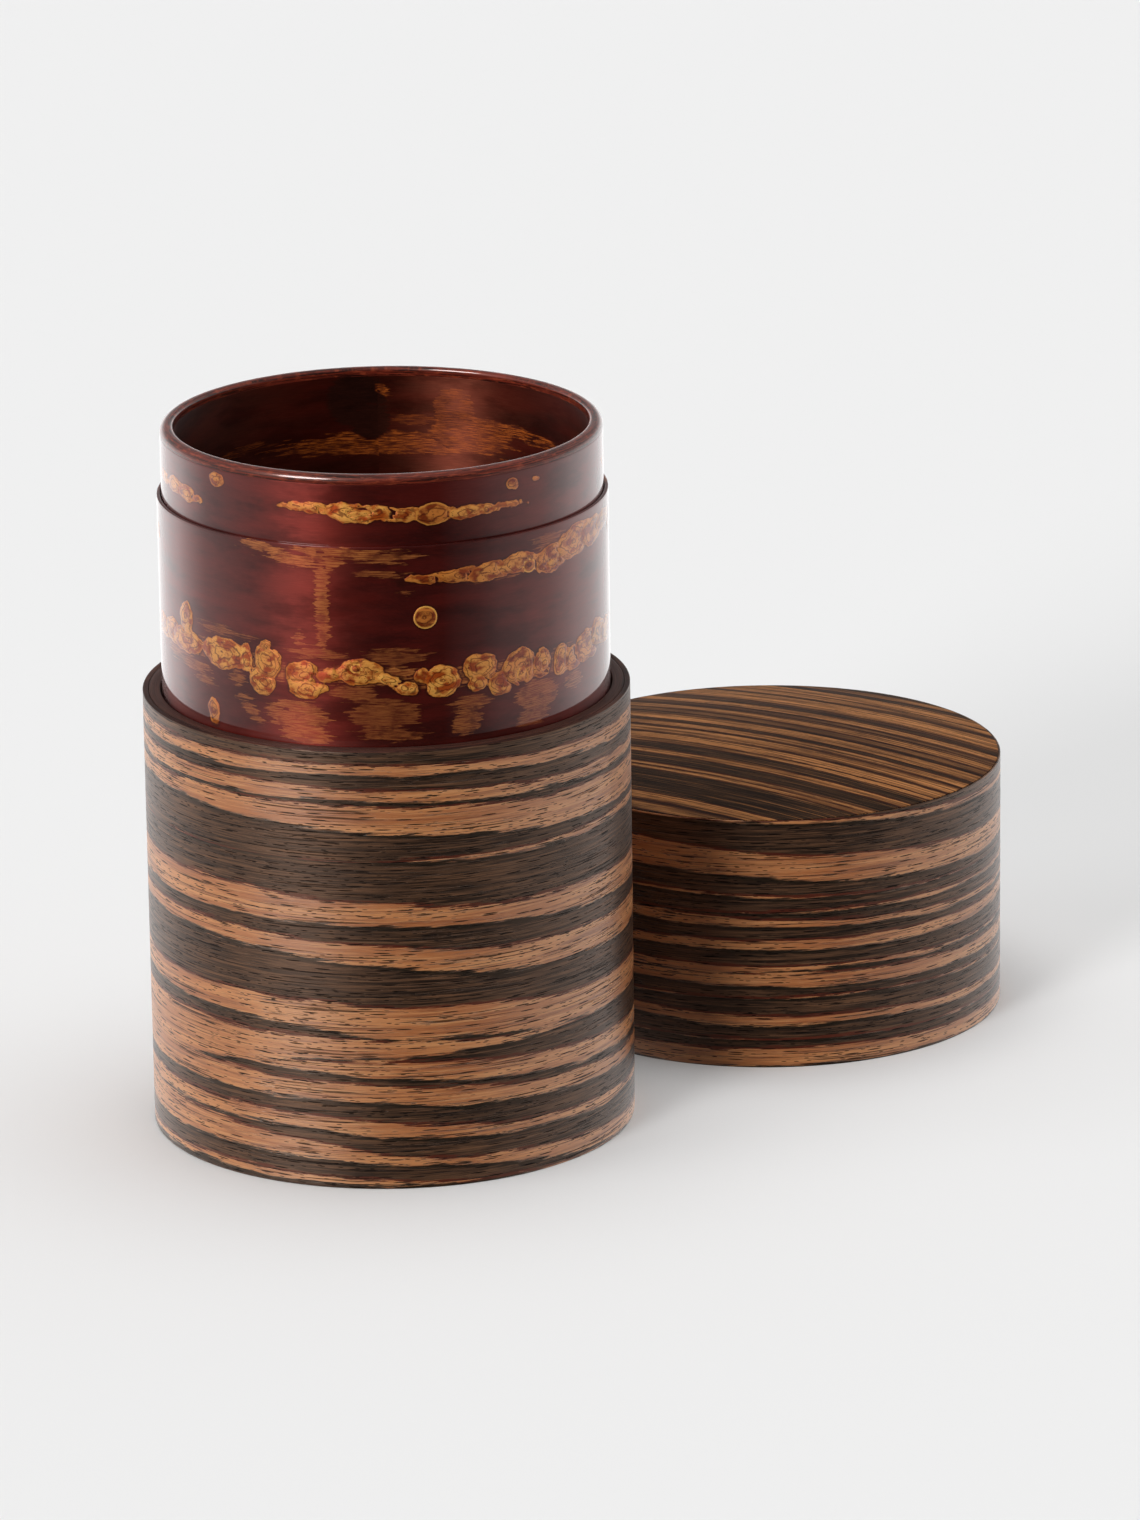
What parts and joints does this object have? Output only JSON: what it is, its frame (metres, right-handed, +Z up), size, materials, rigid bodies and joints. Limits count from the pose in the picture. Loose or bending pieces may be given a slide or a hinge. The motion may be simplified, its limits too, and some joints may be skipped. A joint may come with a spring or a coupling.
{
  "type": "tea caddy",
  "caption": "Round tea caddy with a striped veneer body, a bark-covered neck, a sliding cup-shaped inner lid and a deep outer lid standing beside it.",
  "frame": {"origin": "centre of the body's flat underside, on the surface that the caddy stands on", "axes": "+Z up along the body's axis; the outer lid stands beside the body towards +X and +Y; -Y is the viewer's side"},
  "size_m": [0.146, 0.135, 0.1185],
  "materials": {
    "striped_veneer": "satin lacquer over dark and tan striped veneer",
    "cherry_bark": "deep polished cherry bark",
    "bark_lining": "polished cherry bark lining",
    "core_wood": "dark stained wound wood"
  },
  "bodies": {
    "caddy_body": {"body_veneer_wrap": "striped_veneer", "body_core_tube": "core_wood", "base_bark_disc": "cherry_bark", "base_board": "core_wood", "inner_sleeve": "cherry_bark", "chamber_floor_bark": "bark_lining"},
    "inner_lid": {"inner_lid_bark_wrap": "cherry_bark", "inner_lid_core_ring": "core_wood", "inner_lid_lining": "bark_lining", "inner_lid_rim_strip": "cherry_bark", "inner_lid_board": "core_wood", "inner_lid_floor_bark": "bark_lining", "inner_lid_base_bark": "cherry_bark"},
    "outer_lid": {"lid_veneer_wrap": "striped_veneer", "lid_core_tube": "core_wood", "lid_lining": "bark_lining", "lid_ceiling_bark": "bark_lining", "lid_top_board": "core_wood", "lid_top_veneer": "striped_veneer"}
  },
  "joints": [
    {"name": "inner_lid_slide", "type": "slide", "parent": "caddy_body", "child": "inner_lid", "axis": [0, 0, 1], "range_m": [-0.0095, 0.022]},
    {"name": "lid_lift", "type": "slide", "parent": "caddy_body", "child": "outer_lid", "axis": [0, 0, 1], "range_m": [0, 0.12]}
  ]
}
